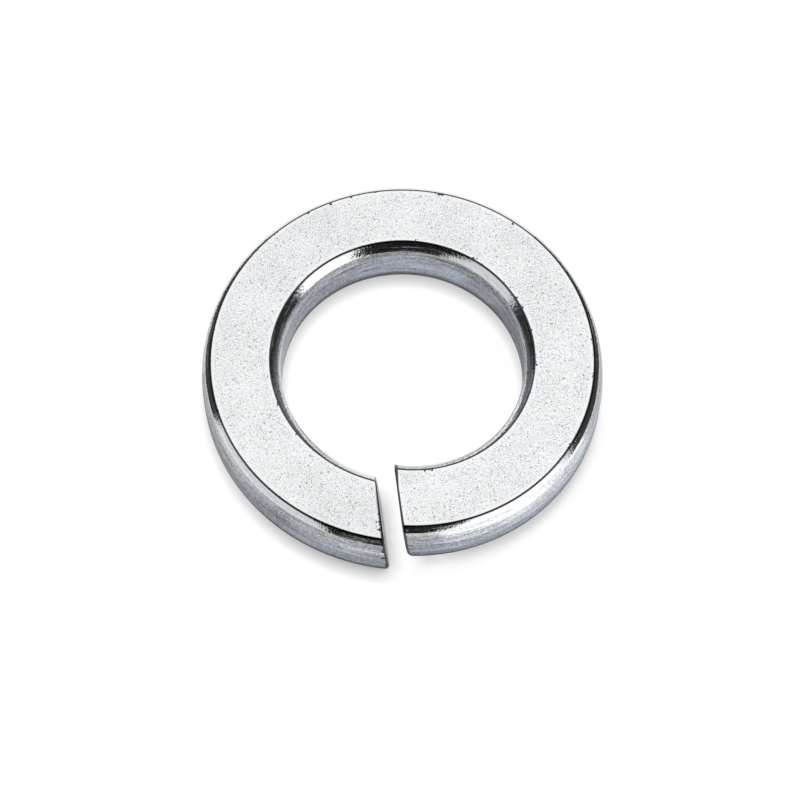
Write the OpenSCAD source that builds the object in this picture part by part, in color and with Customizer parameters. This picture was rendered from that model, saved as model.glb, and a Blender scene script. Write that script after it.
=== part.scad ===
// Spring lock washer: one coil of rolled spring wire, cut through at the front.
// The coil lies flat over most of its turn and is bent at its two cut ends,
// one a little down and the other well up, so that it springs under a bolt head.
// The bolt's axis is Z, the gap faces -Y, and the lowest corner stands at z = 0.

/* [Ring] */
// Diameter of the hole that the bolt passes through
bore_diameter = 19.2; // [16:0.1:22]
// Diameter over the outside of the ring
outside_diameter = 31.8; // [29:0.1:38]
// Height of the wire's section, from flat to flat
thickness = 5.1; // [3.6:0.1:7]

/* [Wire section] */
// Radius of the corners at the upper flat
top_corner = 0.45; // [0.2:0.05:0.9]
// Radius to which the side walls are crowned above their upright part
crown_radius = 7.5; // [1:0.1:10]
// Angle by which the crowned walls lean in where they meet the upper corners
crown_lean = 20; // [10:1:30]
// Radius of the corners at the lower flat
bottom_corner = 1.1; // [0.3:0.05:1.6]

/* [Bent ends] */
// Arc of the low end that is bent down, in degrees
low_bend_arc = 75; // [30:1:80]
// How far the low end drops below the flat stretch
low_drop = 0.8; // [0.1:0.05:1.2]
// Arc of the high end that is bent up, in degrees
high_bend_arc = 110; // [60:1:140]
// How far the high end rises above the flat stretch
high_rise = 2.1; // [0.5:0.05:3]

/* [Gap] */
// Clear width of the gap between the two cut faces, along X
gap_width = 1.6; // [0.5:0.05:3]
// Distance of the gap's middle from the ring's centre line, along X
gap_offset = -0.7; // [-1.5:0.1:1.5]
// Lean of the cuts seen from the front, with the top towards -X
cut_lean = 4.5; // [-12:0.5:12]
// Turn of the cuts seen from above, away from a line through the ring's centre
cut_skew = 7; // [-12:1:12]

/* [Hidden] */

// Straight steps around each corner, and along each crowned wall
corner_steps = 4;
crown_steps = 2;
// Lean of a wall's curve where the wall's cylinder cuts it off, and how far it goes past
wall_lean = 6;
past_wall = 0.03;
// Least height of the upright wall between the curves above and below it
least_upright = 0.3;
// Degrees of turn between two sections of the coil
section_step = 4;
// Height by which the wall cylinders stand clear of the ring
clear = 1;
$fn = 240;

bore_radius = bore_diameter / 2;
outside_radius = outside_diameter / 2;
middle_radius = (bore_radius + outside_radius) / 2;
high_lift = low_drop + high_rise;
full_height = high_lift + thickness;

// Turn angles are measured from the front, clockwise seen from above.
low_seam = low_bend_arc;
high_seam = 360 - high_bend_arc;

// A point where a wall's curve leans in by the angle lean, as [distance in from the wall,
// distance from the flat]. The curve is a corner arc and then a flatter crown arc, which
// meet where both lean by crown_lean. The crown arc would end upright on the wall.
function corner_point(lean, corner, crown) =
    lean > crown_lean
        ? [
            crown * (1 - cos(crown_lean)) + corner * (cos(crown_lean) - cos(lean)),
            corner * (1 - sin(lean))
        ]
        : [
            crown * (1 - cos(lean)),
            corner * (1 - sin(crown_lean)) + crown * (sin(crown_lean) - sin(lean))
        ];

// The curve from the flat to just past the wall, in straight steps. The last step runs
// straight on through the wall, so that the wall's cylinder cuts it at a clear angle.
function corner_curve(corner, crown) =
    let (foot = corner_point(wall_lean, corner, crown))
    concat(
        [
            for (i = [0 : corner_steps])
                corner_point(90 + (crown_lean - 90) * i / corner_steps, corner, crown)
        ],
        [
            for (i = [1 : crown_steps])
                corner_point(crown_lean + (wall_lean - crown_lean) * i / crown_steps, corner, crown)
        ],
        [[-past_wall, foot[1] + (foot[0] + past_wall) / tan(wall_lean)]]
    );

function reversed(list) = [for (i = [len(list) - 1 : -1 : 0]) list[i]];

bottom_curve = corner_curve(bottom_corner, bottom_corner);

// The crown keeps its radius where the wire is high enough for it, and is tighter where not.
upper_room = thickness - least_upright - bottom_curve[len(bottom_curve) - 1][1];
corner_height = top_corner * (1 - sin(crown_lean)) + past_wall / tan(wall_lean);
crown_height_share = sin(crown_lean) - sin(wall_lean) + (1 - cos(wall_lean)) / tan(wall_lean);
top_crown = min(crown_radius, (upper_room - corner_height) / crown_height_share);
top_curve = corner_curve(top_corner, top_crown);

// The wire's section as [radius, height] points, counterclockwise, standing on height 0
section = concat(
    [for (p = bottom_curve) [outside_radius - p[0], p[1]]],
    [for (p = reversed(top_curve)) [outside_radius - p[0], thickness - p[1]]],
    [for (p = top_curve) [bore_radius + p[0], thickness - p[1]]],
    [for (p = reversed(bottom_curve)) [bore_radius + p[0], p[1]]]
);

// Turn angle at which the cut plane meets a given radius and height. The plane crosses
// the middle of the wire at cut_x, and its lean and skew move it across the section.
function cut_angle(radius, height, cut_x) =
    let (reach = middle_radius * tan(cut_skew) + (height - thickness / 2) * tan(cut_lean) - cut_x)
    asin(reach * cos(cut_skew) / radius) - cut_skew;

function at_turn(radius, turn, height) = [-radius * sin(turn), -radius * cos(turn), height];

// One section of a bent end: u is 0 at the seam with the flat stretch, where the section
// lies on a line through the centre, and 1 at the cut, where it lies in the cut plane.
function bent_section(u, seam, lift, end_lift, cut_x, full_turn) = [
    for (p = section)
        let (cut = full_turn + cut_angle(p[0], p[1] + end_lift, cut_x))
        at_turn(p[0], seam + (cut - seam) * u, p[1] + lift)
];

// A closed skin over a row of sections that follow one another clockwise
module skin(sections) {
    n = len(section);
    last = len(sections) - 1;
    side_faces = [
        for (k = [0 : last - 1], i = [0 : n - 1], half = [0, 1])
            let (j = (i + 1) % n)
            half == 0
                ? [k * n + i, k * n + j, (k + 1) * n + i]
                : [k * n + j, (k + 1) * n + j, (k + 1) * n + i]
    ];
    first_face = [for (i = [n - 1 : -1 : 0]) i];
    last_face = [for (i = [0 : n - 1]) last * n + i];
    polyhedron([for (s = sections, p = s) p], concat(side_faces, [first_face, last_face]));
}

// The whole coil as one skin, from the low end's cut to the high end's cut. Its sides
// stand a little past the true walls, which the cylinders below cut.
module coil() {
    low_steps = ceil(low_bend_arc / section_step);
    flat_steps = ceil((high_seam - low_seam) / section_step);
    high_steps = ceil(high_bend_arc / section_step);
    low_cut_x = gap_offset - gap_width / 2;
    high_cut_x = gap_offset + gap_width / 2;
    skin(concat(
        [
            for (k = [0 : low_steps])
                let (u = 1 - k / low_steps)
                bent_section(u, low_seam, low_drop * (1 - u * u), 0, low_cut_x, 0)
        ],
        [
            for (k = [1 : flat_steps - 1])
                let (turn = low_seam + (high_seam - low_seam) * k / flat_steps)
                [for (p = section) at_turn(p[0], turn, p[1] + low_drop)]
        ],
        [
            for (k = [0 : high_steps])
                let (u = k / high_steps)
                bent_section(u, high_seam, low_drop + high_rise * u * u, high_lift, high_cut_x, 360)
        ]
    ));
}

// A cylinder on the bolt's axis that is taller than the ring
module wall(radius) {
    translate([0, 0, -clear])
        cylinder(h = full_height + 2 * clear, r = radius);
}

module lock_washer() {
    color("lightgray")
        difference() {
            intersection() {
                coil();
                wall(outside_radius);
            }
            wall(bore_radius);
        }
}

lock_washer();
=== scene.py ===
"""Spring lock washer: one coil of rolled, zinc-plated wire on a white studio floor."""
import bpy
import math
from types import SimpleNamespace
from mathutils import Matrix, Vector


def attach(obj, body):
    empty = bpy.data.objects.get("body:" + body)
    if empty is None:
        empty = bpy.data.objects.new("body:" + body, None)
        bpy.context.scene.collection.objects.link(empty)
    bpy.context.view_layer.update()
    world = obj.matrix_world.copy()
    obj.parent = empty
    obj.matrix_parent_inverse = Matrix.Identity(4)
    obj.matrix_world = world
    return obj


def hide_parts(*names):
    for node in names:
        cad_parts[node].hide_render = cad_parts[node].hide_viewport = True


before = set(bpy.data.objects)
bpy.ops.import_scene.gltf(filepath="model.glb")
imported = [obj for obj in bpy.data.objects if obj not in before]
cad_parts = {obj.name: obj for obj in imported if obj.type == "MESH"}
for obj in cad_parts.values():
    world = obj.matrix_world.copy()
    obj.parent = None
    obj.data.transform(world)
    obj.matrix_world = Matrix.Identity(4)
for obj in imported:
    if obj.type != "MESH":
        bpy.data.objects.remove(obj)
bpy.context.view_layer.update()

MM = 0.001

# The washer's sizes in millimetres, as in the part's source
BORE_RADIUS = 9.6
OUTSIDE_RADIUS = 15.9
THICKNESS = 5.1
BOTTOM_CORNER = 1.1
LOW_BEND = math.radians(75)
LOW_DROP = 0.8
HIGH_BEND = math.radians(110)
HIGH_RISE = 2.1
GAP_WIDTH = 1.6
GAP_OFFSET = -0.7
CUT_LEAN = math.radians(4.5)
CUT_SKEW = math.radians(7)

MIDDLE_RADIUS = (BORE_RADIUS + OUTSIDE_RADIUS) / 2
COIL_LENGTH = 2 * math.pi * MIDDLE_RADIUS
HIGH_SEAM = 2 * math.pi - HIGH_BEND
HIGH_LIFT = LOW_DROP + HIGH_RISE
LOW_CUT_X = GAP_OFFSET - GAP_WIDTH / 2
HIGH_CUT_X = GAP_OFFSET + GAP_WIDTH / 2

# The upper corners: a tight edge, a nearly flat bevel, a tight shoulder and a long crown.
# FLAT_EDGE is the flat's distance in from the wall, and the leans are measured from upright.
FLAT_EDGE = 0.875
EDGE_RADIUS = 0.2
BEVEL_LEAN = math.radians(47), math.radians(38)
OUTER_BEVEL = 0.50
INNER_BEVEL = 0.78
SHOULDER_RADIUS = 0.25
CROWN_LEAN = math.radians(18)

# Rounding of the two cut rims: at a lower corner, over a bevel and elsewhere
CORNER_RIM = 0.38
BEVEL_RIM = 0.18
RIM_RADIUS = 0.13

# Marks along the section, kept on the mesh for the material. They grow from 0 at the upper
# flat's edge, down the wall, to the end of the lower corner. On the flats a mark goes on
# beyond those two ends by the distance to the flat's edge.
EDGE_END = 0.25
BEVEL_END = 0.85
SHOULDER_END = 1.0
CROWN_END = 2.0
WALL_END = 3.0
CORNER_END = 4.0

# Where along the section the cuts' rounding is largest, and how far it fades out from there
BEVEL_MIDDLE = SHOULDER_END / 2
CORNER_MIDDLE = (WALL_END + CORNER_END) / 2
BEVEL_FADE = 1.0
CORNER_FADE = 1.5

# Millimetres of wire to one unit of its UV map
UV_SPAN = 100.0


# The washer's mesh

def top_curve(bevel):
    """An upper corner down to the wall, as (in from the wall, below the flat, mark)."""
    points = [(FLAT_EDGE, 0.0, 0.0)]

    def arc(radius, lean_from, lean_to, steps, mark):
        d, h, mark_from = points[-1]
        for i in range(1, steps + 1):
            lean = lean_from + (lean_to - lean_from) * i / steps
            points.append((d - radius * (math.cos(lean) - math.cos(lean_from)),
                           h + radius * (math.sin(lean_from) - math.sin(lean)),
                           mark_from + (mark - mark_from) * i / steps))

    bevel_radius = bevel / (BEVEL_LEAN[0] - BEVEL_LEAN[1])
    arc(EDGE_RADIUS, math.pi / 2, BEVEL_LEAN[0], steps=6, mark=EDGE_END)
    arc(bevel_radius, *BEVEL_LEAN, steps=4, mark=BEVEL_END)
    arc(SHOULDER_RADIUS, BEVEL_LEAN[1], CROWN_LEAN, steps=4, mark=SHOULDER_END)
    crown_radius = points[-1][0] / (1 - math.cos(CROWN_LEAN))
    arc(crown_radius, CROWN_LEAN, 0.0, steps=7, mark=CROWN_END)
    return points


def bottom_curve(steps=7):
    """A lower corner down from the wall, as (in from the wall, above the flat, mark)."""
    points = []
    for i in range(steps + 1):
        lean = math.pi / 2 * i / steps
        points.append((BOTTOM_CORNER * (1 - math.cos(lean)),
                       BOTTOM_CORNER * (1 - math.sin(lean)),
                       WALL_END + i / steps))
    return points


def flat_points(start, end, edge_mark, sign, steps=12):
    """Points across a flat, with marks that go on from its edges' own mark."""
    points = []
    for i in range(1, steps):
        radius = start[0] + (end[0] - start[0]) * i / steps
        to_edge = min(abs(radius - start[0]), abs(radius - end[0]))
        points.append((radius, start[1], edge_mark + sign * to_edge))
    return points


def wire_section():
    """The wire's section as (radius, height, mark), anticlockwise from the outer lower flat."""
    outer = [(OUTSIDE_RADIUS - d, h, mark) for d, h, mark in reversed(bottom_curve())]
    outer += [(OUTSIDE_RADIUS - d, THICKNESS - h, mark)
              for d, h, mark in reversed(top_curve(OUTER_BEVEL))]
    inner = [(BORE_RADIUS + d, THICKNESS - h, mark) for d, h, mark in top_curve(INNER_BEVEL)]
    inner += [(BORE_RADIUS + d, h, mark) for d, h, mark in bottom_curve()]
    upper_flat = flat_points(outer[-1], inner[0], 0.0, -1)
    lower_flat = flat_points(inner[-1], outer[0], CORNER_END, 1)
    return outer + upper_flat + inner + lower_flat


def inset(section, amounts):
    """The section drawn in from its outline, each point by its own amount."""
    points = []
    for i, (radius, height, mark) in enumerate(section):
        before, after = section[i - 1], section[(i + 1) % len(section)]
        dx, dy = after[0] - before[0], after[1] - before[1]
        length = math.hypot(dx, dy)
        points.append((radius - dy / length * amounts[i], height + dx / length * amounts[i], mark))
    return points


def cut_angle(radius, height, cut_x):
    """Turn angle at which a cut plane meets that radius and height."""
    skewed = MIDDLE_RADIUS * math.tan(CUT_SKEW)
    leaned = (height - THICKNESS / 2) * math.tan(CUT_LEAN)
    return math.asin((skewed + leaned - cut_x) * math.cos(CUT_SKEW) / radius) - CUT_SKEW


def coil_point(point, share):
    """Place of a section's point, share of the way from the low cut to the high cut."""
    radius, height, _ = point
    middle = share * 2 * math.pi
    if middle < LOW_BEND:
        u = 1 - middle / LOW_BEND
        lift = LOW_DROP * (1 - u * u)
        turn = LOW_BEND + (cut_angle(radius, height, LOW_CUT_X) - LOW_BEND) * u
    elif middle > HIGH_SEAM:
        u = (middle - HIGH_SEAM) / HIGH_BEND
        lift = LOW_DROP + HIGH_RISE * u * u
        end = 2 * math.pi + cut_angle(radius, height + HIGH_LIFT, HIGH_CUT_X)
        turn = HIGH_SEAM + (end - HIGH_SEAM) * u
    else:
        lift = LOW_DROP
        turn = middle
    return Vector((-radius * math.sin(turn), -radius * math.cos(turn), height + lift))


def rim_radius(mark):
    """Radius to which a cut's rim is rounded at that mark of the section."""
    if mark < CROWN_END:
        near = max(0.0, 1 - abs(mark - BEVEL_MIDDLE) / BEVEL_FADE)
        return RIM_RADIUS + (BEVEL_RIM - RIM_RADIUS) * near
    near = max(0.0, 1 - abs(mark - CORNER_MIDDLE) / CORNER_FADE)
    return RIM_RADIUS + (CORNER_RIM - RIM_RADIUS) * near * near * (3 - 2 * near)


def rows_of_coil(section, stations, rim_steps=5):
    """(section's points, distance along) for the whole coil, with its two cut rims rounded."""
    radii = [rim_radius(mark) for _, _, mark in section]
    first = []
    last = []
    for i in range(rim_steps):
        lean = math.pi / 2 * i / rim_steps
        back, draw = 1 - math.cos(lean), 1 - math.sin(lean)
        drawn = inset(section, [radius * draw for radius in radii])
        shares = [radius * back / COIL_LENGTH for radius in radii]
        along = RIM_RADIUS * back
        first.append(([coil_point(p, share) for p, share in zip(drawn, shares)], along))
        last.append(([coil_point(p, 1 - share) for p, share in zip(drawn, shares)],
                     COIL_LENGTH - along))
    middle = []
    start, end = CORNER_RIM / COIL_LENGTH, 1 - CORNER_RIM / COIL_LENGTH
    for k in range(stations):
        share = start + (end - start) * k / (stations - 1)
        middle.append(([coil_point(p, share) for p in section], share * COIL_LENGTH))
    return first + middle + last[::-1]


def wrap_wire(mesh, section, rows):
    """The UV map: along the wire and around its section, and by place on the cut faces."""
    girth = [0.0]
    for a, b in zip(section, section[1:] + section[:1]):
        girth.append(girth[-1] + math.hypot(b[0] - a[0], b[1] - a[1]))
    sides = []
    for (_, start), (_, end) in zip(rows, rows[1:]):
        for low, high in zip(girth, girth[1:]):
            sides.append(((start, low), (start, high), (end, high), (end, low)))
    layer = mesh.uv_layers.new(name="wire").data
    for face, corners in zip(mesh.polygons, sides):
        for loop, (along, around) in zip(face.loop_indices, corners):
            layer[loop].uv = (along / UV_SPAN, around / UV_SPAN)
    for face in mesh.polygons[len(sides):]:
        for loop in face.loop_indices:
            place = mesh.vertices[mesh.loops[loop].vertex_index].co
            layer[loop].uv = (1 + place.y / (UV_SPAN * MM), place.z / (UV_SPAN * MM))


def add_object(name, data):
    """A new object in the scene, made of that mesh, lamp or camera."""
    obj = bpy.data.objects.new(name, data)
    bpy.context.scene.collection.objects.link(obj)
    return obj


def build_washer(stations=540):
    """The coil as one closed mesh, with the UV map and the marks that its material reads."""
    section = wire_section()
    rows = rows_of_coil(section, stations)
    n = len(section)
    last = len(rows) - 1
    sides = [(k * n + i, k * n + (i + 1) % n, (k + 1) * n + (i + 1) % n, (k + 1) * n + i)
             for k in range(last) for i in range(n)]
    cuts = [tuple(range(n - 1, -1, -1)), tuple(last * n + i for i in range(n))]
    on_cut = [False] * len(sides) + [True] * len(cuts)
    mesh = bpy.data.meshes.new("coil")
    mesh.from_pydata([tuple(p * MM) for points, _ in rows for p in points], [], sides + cuts)
    wrap_wire(mesh, section, rows)
    marks = mesh.attributes.new("mark", "FLOAT", "POINT")
    marks.data.foreach_set("value", [mark for _ in rows for _, _, mark in section])
    cut = mesh.attributes.new("cut", "FLOAT", "FACE")
    cut.data.foreach_set("value", [float(flag) for flag in on_cut])
    mesh.polygons.foreach_set("use_smooth", [not flag for flag in on_cut])
    mesh.update()
    return add_object("lock_washer_coil", mesh)


# Materials

class Nodes:
    """Short names for building a material's nodes."""

    def __init__(self, owner):
        owner.use_nodes = True
        self.tree = owner.node_tree
        self.tree.nodes.clear()

    def add(self, kind, **settings):
        node = self.tree.nodes.new(kind)
        for name, value in settings.items():
            setattr(node, name, value)
        return node

    def link(self, a, b):
        self.tree.links.new(a, b)

    def put(self, value, socket):
        if isinstance(value, bpy.types.NodeSocket):
            self.link(value, socket)
        else:
            socket.default_value = value

    def math(self, operation, a, b=0.0, c=0.0, clamp=False):
        node = self.add("ShaderNodeMath", operation=operation, use_clamp=clamp)
        for value, socket in zip((a, b, c), node.inputs):
            self.put(value, socket)
        return node.outputs[0]

    def plus(self, first, *others):
        for value in others:
            first = self.math("ADD", first, value)
        return first

    def minus(self, a, b, clamp=False):
        return self.math("SUBTRACT", a, b, clamp=clamp)

    def times(self, first, *others):
        for value in others:
            first = self.math("MULTIPLY", first, value)
        return first

    def least(self, a, b):
        return self.math("MINIMUM", a, b)

    def most(self, a, b):
        return self.math("MAXIMUM", a, b)

    def ramp(self, value, low, high, out_low=0.0, out_high=1.0):
        node = self.add("ShaderNodeMapRange", interpolation_type="SMOOTHSTEP")
        for item, socket in zip((value, low, high, out_low, out_high), node.inputs):
            self.put(item, socket)
        return node.outputs[0]

    def noise(self, vector, scale, detail, roughness):
        node = self.add("ShaderNodeTexNoise")
        self.link(vector, node.inputs["Vector"])
        node.inputs["Scale"].default_value = scale
        node.inputs["Detail"].default_value = detail
        node.inputs["Roughness"].default_value = roughness
        return node.outputs[0]

    def mix(self, share, a, b):
        node = self.add("ShaderNodeMix", data_type="RGBA")
        self.put(share, node.inputs[0])
        self.put(a, node.inputs[6])
        self.put(b, node.inputs[7])
        return node.outputs[2]

    def mix_value(self, share, a, b):
        node = self.add("ShaderNodeMix", data_type="FLOAT")
        self.put(share, node.inputs[0])
        self.put(a, node.inputs[2])
        self.put(b, node.inputs[3])
        return node.outputs[0]

    def place(self):
        return self.add("ShaderNodeTexCoord").outputs["Object"]

    def attribute(self, name):
        return self.add("ShaderNodeAttribute", attribute_name=name).outputs["Fac"]

    def split(self, vector):
        node = self.add("ShaderNodeSeparateXYZ")
        self.link(vector, node.inputs[0])
        return node.outputs[0], node.outputs[1]

    def emission(self, strength):
        node = self.add("ShaderNodeEmission")
        self.put(strength, node.inputs["Strength"])
        return node.outputs[0]

    def surface(self, shader, kind="ShaderNodeOutputMaterial"):
        self.link(shader, self.add(kind).inputs["Surface"])


# Noise patterns of the zinc: scale, detail and roughness
NICKS = 1100.0, 3.0, 0.7
GRAIN = 5200.0, 2.0, 0.6
SPECKS = 9500.0, 1.0, 0.7
FINE_SPECKS = 16000.0, 0.0, 0.5
DOTS = 5200.0, 1.0, 0.6
MOTTLE = 260.0, 3.0, 0.55
TORN = 1500.0, 4.0, 0.7

# Patterns on the UV map, which is squeezed across the wire so that they run along it
STREAKS = 4.0, 4.0, 0.65
BANDS = 1.1, 2.0, 0.5
SQUEEZE = 5.0, 100.0, 1.0

# Marks between which the finish's zones fade in or out, with the painted highlight lip, the
# painted shade line of the edges and the painted shade of the foot among them
FLAT_FADE = 0.02, -0.02
LIP_HIGHLIGHT_FADE = -0.36, -0.10
EDGE_START = -0.03, 0.02
EDGE_STOP = 0.32, 0.22
WALL_FADE = 0.86, 1.04
FOOT_START = 2.72, 3.02
FOOT_STOP = 3.75, 3.35
LOWER_FLAT_FADE = 4.1, 4.0

# Millimetres to a cut between which the flats' painted highlight lip and the painted shade rim
# fade out
LIP_HIGHLIGHT_REACH = 0.45, 0.30
RIM_REACH = 0.20, 0.13

# The high end's inner corner, where the painted shade line is wider, and the ring from front to
# back, over which the flats' painted light fades, as metres of x or y
SHADE_CORNER_X = -0.0010, -0.0006
SHADE_CORNER_Y = -0.0122, -0.0100
FRONT_TO_BACK = -0.013, 0.013

# Tints at full brightness
BLACK = 0.0, 0.0, 0.0, 1
FLAT_TINT = 0.977, 0.989, 1.002, 1
BEVEL_TINT = 0.97, 0.985, 1.0, 1
UPPER_WALL_TINT = 0.90, 0.946, 1.008, 1
LOWER_WALL_TINT = 0.823, 0.894, 1.04, 1
CUT_TINT = 0.92, 0.95, 1.0, 1
# Near-black colour of the painted shade line along the edges and the cut rims
EDGE_SHADE_COLOUR = 0.02, 0.023, 0.027, 1


def zinc_patterns(n, place, wire):
    """The finish's noise patterns."""
    stretch = n.add("ShaderNodeMapping")
    n.link(wire, stretch.inputs["Vector"])
    stretch.inputs["Scale"].default_value = SQUEEZE
    return SimpleNamespace(
        nick=n.ramp(n.noise(place, *NICKS), 0.60, 0.68, 0.0, 0.20),
        streaks=n.noise(stretch.outputs[0], *STREAKS),
        bands=n.noise(stretch.outputs[0], *BANDS),
        grain=n.noise(place, *GRAIN),
        speck=n.noise(place, *SPECKS),
        fine=n.noise(place, *FINE_SPECKS),
        dots=n.ramp(n.noise(place, *DOTS), 0.62, 0.72),
        mottle=n.noise(place, *MOTTLE),
        torn=n.ramp(n.noise(place, *TORN), 0.35, 0.65, 0.34, 0.58),
    )


def zinc_zones(n, place, wire, nick):
    """The surface's zones, each 0 to 1, from the marks and from the millimetres to a cut."""
    mark = n.attribute("mark")
    cut = n.attribute("cut")
    x, y = n.split(place)
    along = n.times(n.split(wire)[0], UV_SPAN)
    to_cut = n.least(along, n.minus(COIL_LENGTH, along))

    # Flats, with a painted highlight lip along their edges and near the cuts
    flat = n.ramp(mark, *FLAT_FADE)
    lip_highlight = n.most(n.ramp(mark, *LIP_HIGHLIGHT_FADE, 0.0, 0.6), n.ramp(to_cut, *LIP_HIGHLIGHT_REACH))

    # Painted shade: a dark line along the flats' edges and by the cuts, broken up by nicks, and
    # wider at the high end's inner corner
    edge = n.times(n.ramp(n.plus(mark, nick), *EDGE_START), n.ramp(mark, *EDGE_STOP))
    shade_corner = n.times(n.ramp(x, *SHADE_CORNER_X), n.ramp(y, *SHADE_CORNER_Y, 0.0, 0.17))
    rim = n.minus(to_cut, n.plus(n.times(nick, 1.6), shade_corner))
    rim = n.times(n.ramp(rim, *RIM_REACH), n.minus(1.0, cut))

    # Walls from the shoulder on, and the foot, painted shade that darkens the lower corner
    wall = n.ramp(mark, *WALL_FADE)
    foot_shade = n.times(n.ramp(mark, *FOOT_START), n.ramp(mark, *FOOT_STOP, 0.35, 1.0))
    return SimpleNamespace(
        mark=mark, cut=cut, y=y, flat=flat, wall=wall,
        lip_highlight=n.times(lip_highlight, flat),
        line=n.most(edge, rim),
        foot_shade=n.times(foot_shade, n.ramp(mark, *LOWER_FLAT_FADE)),
        bevel=n.minus(n.minus(1.0, flat), wall, clamp=True),
    )


def flat_colour(n, zone, pattern, dot_depth=0.42):
    """Satin flats, finely speckled, with dots and broad mottling, painted lighter at the front and
    darker at the back, and with a painted highlight lip along their edges.
    """
    tone = n.plus(n.ramp(pattern.speck, 0.36, 0.56, 0.67, 1.09),
                  n.ramp(pattern.fine, 0.36, 0.62, -0.18, 0.12))
    tone = n.minus(tone, n.times(pattern.dots, dot_depth))
    tone = n.plus(tone, n.ramp(pattern.mottle, 0.35, 0.65, -0.05, 0.05))
    # Painted light: the flats are brighter towards the front of the ring and darker towards the
    # back
    tone = n.times(tone, n.ramp(zone.y, *FRONT_TO_BACK, 1.045, 0.955))
    return n.mix(n.mix_value(zone.lip_highlight, n.least(tone, 1.0), 1.0), BLACK, FLAT_TINT)


def wall_colour(n, zone, pattern, foot_shade_tone=0.14):
    """Drawn walls, streaked and banded along the wire, with painted light and shade: lighter and
    more neutral at the crown, darker and bluer towards the foot.
    """
    tone = n.plus(n.ramp(pattern.streaks, 0.34, 0.66, 0.34, 0.62),
                  n.ramp(pattern.grain, 0.3, 0.7, -0.16, 0.16),
                  n.ramp(pattern.bands, 0.35, 0.65, -0.12, 0.10))
    # Painted light and shade: the crown is painted brighter, the lower wall darker and the foot
    # much darker
    shade_fall = n.ramp(zone.mark, 1.1, 2.5, 1.25, 0.88)
    tone = n.times(tone, n.mix_value(zone.foot_shade, shade_fall, foot_shade_tone))
    # Painted light and shade in the tint too: the lit crown is more neutral, the shaded lower wall
    # bluer
    tint = n.mix(n.ramp(zone.mark, 1.2, 2.3), UPPER_WALL_TINT, LOWER_WALL_TINT)
    return n.mix(tone, BLACK, tint)


def bevel_colour(n, pattern):
    """Polished bevels, slightly streaked."""
    tone = n.plus(n.ramp(pattern.streaks, 0.35, 0.6, 0.74, 0.88),
                  n.ramp(pattern.grain, 0.3, 0.7, -0.10, 0.04))
    return n.mix(tone, BLACK, BEVEL_TINT)


def zinc_colour(n, zone, pattern, shade_line_depth=0.93):
    """The colour over all the zones, with the painted shade line along the edges and the sheared
    cuts on top.
    """
    colour = n.mix(zone.wall, bevel_colour(n, pattern), wall_colour(n, zone, pattern))
    colour = n.mix(zone.flat, colour, flat_colour(n, zone, pattern))
    colour = n.mix(n.times(zone.line, shade_line_depth), colour, EDGE_SHADE_COLOUR)
    return n.mix(zone.cut, colour, n.mix(pattern.torn, BLACK, CUT_TINT))


def zinc_metallic(n, zone, pattern, wall_dullness=0.3):
    """Metal, dulled a little on the walls and along the bevels' rubbed lines."""
    rubbed = n.times(zone.bevel, n.ramp(pattern.streaks, 0.56, 0.68, 0.0, 0.45))
    return n.minus(1.0, n.plus(n.times(zone.wall, wall_dullness), rubbed))


def zinc_roughness(n, zone, pattern, flat_rough=0.28, cut_rough=0.35):
    """Nearly mirror-smooth bevels, and satin everywhere else."""
    rough = n.mix_value(zone.wall, n.ramp(pattern.grain, 0.35, 0.65, 0.06, 0.16),
                        n.ramp(zone.mark, 1.2, 1.9, 0.26, 0.38))
    rough = n.mix_value(zone.flat, rough, flat_rough)
    return n.mix_value(zone.cut, rough, cut_rough)


def zinc_bump(n, zone, pattern, strength=0.5, depth=0.00003):
    """Relief of the specks, the drawn streaks, the grain and the torn cuts."""
    specks = n.times(pattern.speck, n.times(zone.flat, 0.6))
    torn = n.times(pattern.torn, n.times(zone.cut, 3.0))
    drawn = n.times(pattern.streaks, n.plus(n.times(zone.wall, 0.8), n.times(zone.bevel, 0.15)))
    grain = n.times(pattern.grain, n.plus(n.times(zone.wall, 0.3), n.times(zone.bevel, 0.8)))
    bump = n.add("ShaderNodeBump")
    bump.inputs["Strength"].default_value = strength
    bump.inputs["Distance"].default_value = depth
    n.link(n.plus(n.plus(specks, torn), n.plus(drawn, grain)), bump.inputs["Height"])
    return bump.outputs[0]


def zinc_material(wall_anisotropy=0.8, quarter_turn=0.25):
    """Bright zinc on steel: satin speckled flats, polished bevels and drawn side walls."""
    material = bpy.data.materials.new("zinc_plated_steel")
    n = Nodes(material)
    place = n.place()
    wire = n.add("ShaderNodeUVMap", uv_map="wire").outputs[0]
    along = n.add("ShaderNodeTangent", direction_type="UV_MAP", uv_map="wire").outputs[0]
    pattern = zinc_patterns(n, place, wire)
    zone = zinc_zones(n, place, wire, pattern.nick)
    shader = n.add("ShaderNodeBsdfPrincipled")
    n.link(zinc_colour(n, zone, pattern), shader.inputs["Base Color"])
    n.link(zinc_metallic(n, zone, pattern), shader.inputs["Metallic"])
    n.link(zinc_roughness(n, zone, pattern), shader.inputs["Roughness"])
    n.link(zinc_bump(n, zone, pattern), shader.inputs["Normal"])
    n.link(n.times(zone.wall, wall_anisotropy), shader.inputs["Anisotropic"])
    shader.inputs["Anisotropic Rotation"].default_value = quarter_turn
    n.link(along, shader.inputs["Tangent"])
    n.surface(shader.outputs[0])
    return material


washer = build_washer()
washer.data.materials.append(zinc_material())
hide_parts("lock_washer")
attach(washer, "root")


# Floor, white as the photograph's ground, with the washer's own shadow on it

PAPER_COLOUR = 0.10, 0.10, 0.1007, 1
PAPER_GLOW = 0.95

# How far the close shadow reaches, and the further one under the raised end on the right,
# which gets no darker than its limit
CLOSE_REACH = 1.35 * MM
FAR_REACH = 4.6 * MM
FAR_LIMIT = 0.56

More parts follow.
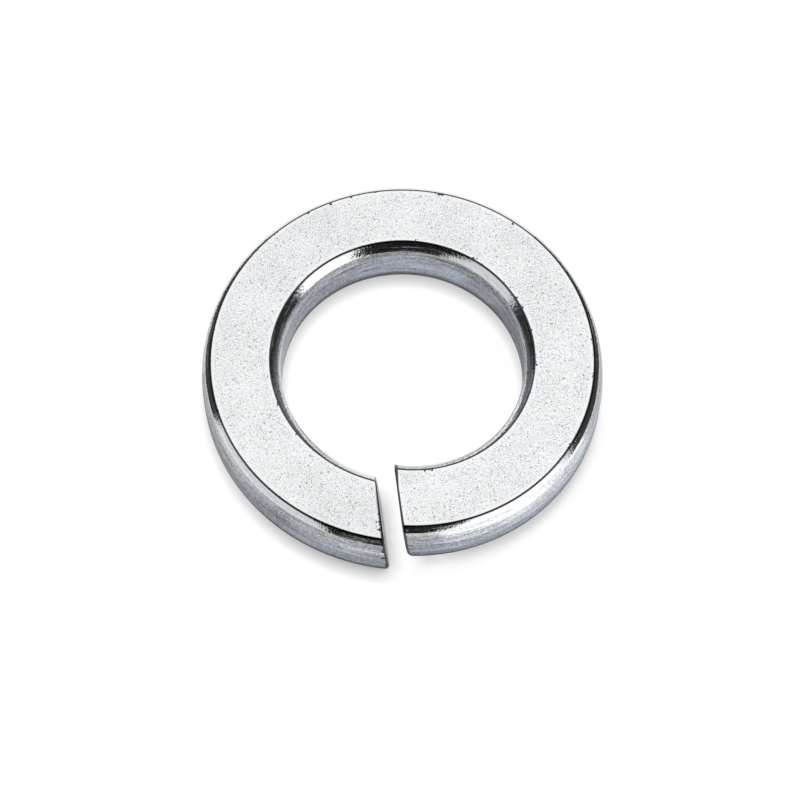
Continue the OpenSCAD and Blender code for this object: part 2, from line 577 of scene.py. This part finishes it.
# The floor under the raised end, as metres of x, of y and of distance from the ring's middle
RAISED_X = 0.0004, 0.0020
RAISED_Y = 0.001, -0.006
RAISED_RADIUS = 0.0105, 0.0125


def seen_directly(n):
    """1 for camera, glossy and transmission rays, 0 for the light that falls on things."""
    path = n.add("ShaderNodeLightPath")
    both = n.most(path.outputs["Is Camera Ray"], path.outputs["Is Glossy Ray"])
    return n.most(both, path.outputs["Is Transmission Ray"])


def openness(n, reach, samples, gain, offset):
    """How open the floor is to its surroundings, as gain times that share plus an offset."""
    node = n.add("ShaderNodeAmbientOcclusion", samples=samples)
    node.inputs["Distance"].default_value = reach
    return n.math("MULTIPLY_ADD", node.outputs["AO"], gain, offset)


def floor_shade(n):
    """The shadow on the floor, from 1 in the open down to the dark line under the washer."""
    close = openness(n, CLOSE_REACH, samples=8, gain=0.87, offset=0.13)
    far = n.most(openness(n, FAR_REACH, samples=16, gain=4.2, offset=-1.56), FAR_LIMIT)
    place = n.place()
    x, y = n.split(place)
    radius = n.add("ShaderNodeVectorMath", operation="LENGTH")
    n.link(place, radius.inputs[0])
    raised_end = n.times(n.ramp(x, *RAISED_X), n.ramp(y, *RAISED_Y),
                         n.ramp(radius.outputs["Value"], *RAISED_RADIUS))
    return n.mix_value(raised_end, close, n.least(n.least(far, 1.0), close))


def floor_material():
    material = bpy.data.materials.new("white_floor")
    n = Nodes(material)
    paper = n.add("ShaderNodeBsdfDiffuse")
    paper.inputs["Color"].default_value = PAPER_COLOUR
    total = n.add("ShaderNodeAddShader")
    n.link(paper.outputs[0], total.inputs[0])
    n.link(n.emission(n.times(seen_directly(n), floor_shade(n), PAPER_GLOW)), total.inputs[1])
    n.surface(total.outputs[0])
    return material


def add_sheet(name, verts, faces, material):
    """A thin sheet of the studio, with its material."""
    mesh = bpy.data.meshes.new(name)
    mesh.from_pydata(verts, [], faces)
    mesh.materials.append(material)
    return add_object(name, mesh)


def build_floor(size=1.6):
    s = size / 2
    corners = [(-s, -s, 0), (s, -s, 0), (s, s, 0), (-s, s, 0)]
    floor = add_sheet("floor", corners, [(0, 1, 2, 3)], floor_material())


# Cards, which only the washer's reflections show

def direction(azimuth, elevation):
    """Unit vector; azimuth 0 is the front, towards -Y, and grows to the left, towards -X."""
    a, e = math.radians(azimuth), math.radians(elevation)
    return Vector((-math.sin(a) * math.cos(e), -math.cos(a) * math.cos(e), math.sin(e)))


def between(points, x):
    """Straight lines through the (x, y) points, level before the first and after the last."""
    if x <= points[0][0]:
        return points[0][1]
    for (x0, y0), (x1, y1) in zip(points, points[1:]):
        if x <= x1:
            return y0 + (y1 - y0) * (x - x0) / (x1 - x0)
    return points[-1][1]


def stage_card(name, verts, faces, radiance):
    """A card of that brightness, seen by reflections alone."""
    material = bpy.data.materials.new(name)
    n = Nodes(material)
    n.surface(n.emission(radiance))
    card = add_sheet(name, verts, faces, material)
    card.visible_camera = False
    card.visible_diffuse = False
    card.visible_shadow = False


def build_card(name, right_edge, left_edge, elevations, distance, radiance, steps=24):
    """A card curved round the washer. Each side edge is a row of (elevation, azimuth) points."""
    verts = []
    for i in range(steps + 1):
        for j in range(steps + 1):
            e = elevations[0] + (elevations[1] - elevations[0]) * j / steps
            start, end = between(right_edge, e), between(left_edge, e)
            verts.append(tuple(direction(start + (end - start) * i / steps, e) * distance))
    faces = []
    for i in range(steps):
        for j in range(steps):
            k = i * (steps + 1) + j
            faces.append((k, k + 1, k + steps + 2, k + steps + 1))
    stage_card(name, verts, faces, radiance)


def build_bounce(name, azimuths, radii, radiance, height=0.0003, steps=16):
    """A card that lies on the floor by the washer."""
    verts = []
    for i in range(steps + 1):
        around = direction(azimuths[0] + (azimuths[1] - azimuths[0]) * i / steps, 0)
        verts += [tuple(around * r + Vector((0, 0, height))) for r in radii]
    faces = [(2 * i, 2 * i + 1, 2 * i + 3, 2 * i + 2) for i in range(steps)]
    stage_card(name, verts, faces, radiance)


# Name, azimuths of the right and left edges, elevations, distance and radiance
CARDS = (
    ("front_gap", -4, 19, (17, 19), 0.068, 0.35),
    ("upper_card", -80, 80, (36, 90), 0.41, 0.012),
    ("left_card", 87, 132, (-2, 42), 0.060, 0.03),
    ("right_card", -132, -78, (-2, 42), 0.060, 0.03),
    ("left_strip", 83, 145, (-1, 14), 0.030, 0.05),
    ("right_strip", -145, -70, (-1, 14), 0.030, 0.05),
    ("right_glow", -78, -22, (-1, 36), 0.43, 1.4),
    ("back_glow", 120, 240, (34, 88), 0.44, 1.02),
)

# Name, azimuths, radii and radiance of the cards on the floor
BOUNCES = (
    ("right_bounce", (-74, -14), (0.0200, 0.0300), 2.1),
    ("hole_bounce", (70, 205), (0.0064, 0.0090), 1.5),
    ("hole_shade", (110, 250), (0.0024, 0.0062), 0.40),
    ("right_shade", (222, 290), (0.0064, 0.0090), 0.55),
    ("left_shade", (38, 95), (0.0164, 0.0220), 0.75),
)

# The front card's side edges slant, as (elevation, azimuth) points
FRONT_RIGHT_EDGE = (0, -13), (10, -18), (23, -36), (45, -32)
FRONT_LEFT_EDGE = (20, 27), (40, 56)

build_floor()
build_card("front_card", FRONT_RIGHT_EDGE, FRONT_LEFT_EDGE, (-2, 90), 0.070, 0.012)
for name, right, left, elevations, distance, radiance in CARDS:
    build_card(name, [(0, right)], [(0, left)], elevations, distance, radiance)
for name, azimuths, radii, radiance in BOUNCES:
    build_bounce(name, azimuths, radii, radiance)


# Light: an even white surround, one soft lamp overhead and one on the right

def build_world(level=0.44):
    world = bpy.data.worlds.new("studio")
    bpy.context.scene.world = world
    n = Nodes(world)
    sky = n.add("ShaderNodeBackground")
    n.link(n.mix_value(seen_directly(n), level, 1.0), sky.inputs["Strength"])
    n.surface(sky.outputs[0], "ShaderNodeOutputWorld")


def build_lamp(name, azimuth, elevation, size, radiance, distance=0.6):
    lamp = bpy.data.lights.new(name, "AREA")
    lamp.shape = "SQUARE"
    lamp.size = size
    lamp.energy = radiance * math.pi * size * size
    obj = add_object(name, lamp)
    obj.location = direction(azimuth, elevation) * distance
    obj.rotation_euler = obj.location.to_track_quat("Z", "Y").to_euler()
    obj.visible_camera = False
    obj.visible_glossy = False


build_world()
build_lamp("top_softbox", 180, 86, 0.20, 6.0)
build_lamp("right_softbox", -60, 40, 0.30, 2.2)


# Camera: the photograph's viewing angle, measured from the washer's own outline

PICTURE_WIDTH = 800
FOCAL_PIXELS = 2602
SENSOR_WIDTH = 36
ELEVATION = math.radians(65.1)

# The camera's distance, and how far the washer lies right of and above the picture's middle,
# all from the outside radius
DISTANCE = OUTSIDE_RADIUS / 0.0769 * MM
SHIFT_RIGHT = 0.0114 * OUTSIDE_RADIUS * MM
SHIFT_UP = 0.142 * OUTSIDE_RADIUS * MM
AIM_HEIGHT = (LOW_DROP + THICKNESS / 2) * MM


def build_camera():
    forward = Vector((0, math.cos(ELEVATION), -math.sin(ELEVATION)))
    up = Vector((0, math.sin(ELEVATION), math.cos(ELEVATION)))
    right = Vector((1, 0, 0))
    camera = bpy.data.cameras.new("camera")
    camera.sensor_width = SENSOR_WIDTH
    camera.lens = FOCAL_PIXELS / PICTURE_WIDTH * SENSOR_WIDTH
    camera.clip_start = 0.01
    obj = add_object("camera", camera)
    aim = Vector((0, 0, AIM_HEIGHT)) - SHIFT_RIGHT * right - SHIFT_UP * up
    place = aim - DISTANCE * forward
    turn = Matrix((right, up, -forward)).transposed()
    obj.matrix_world = Matrix.Translation(place) @ turn.to_4x4()
    bpy.context.scene.camera = obj


build_camera()
bpy.context.scene.view_settings.view_transform = "Standard"
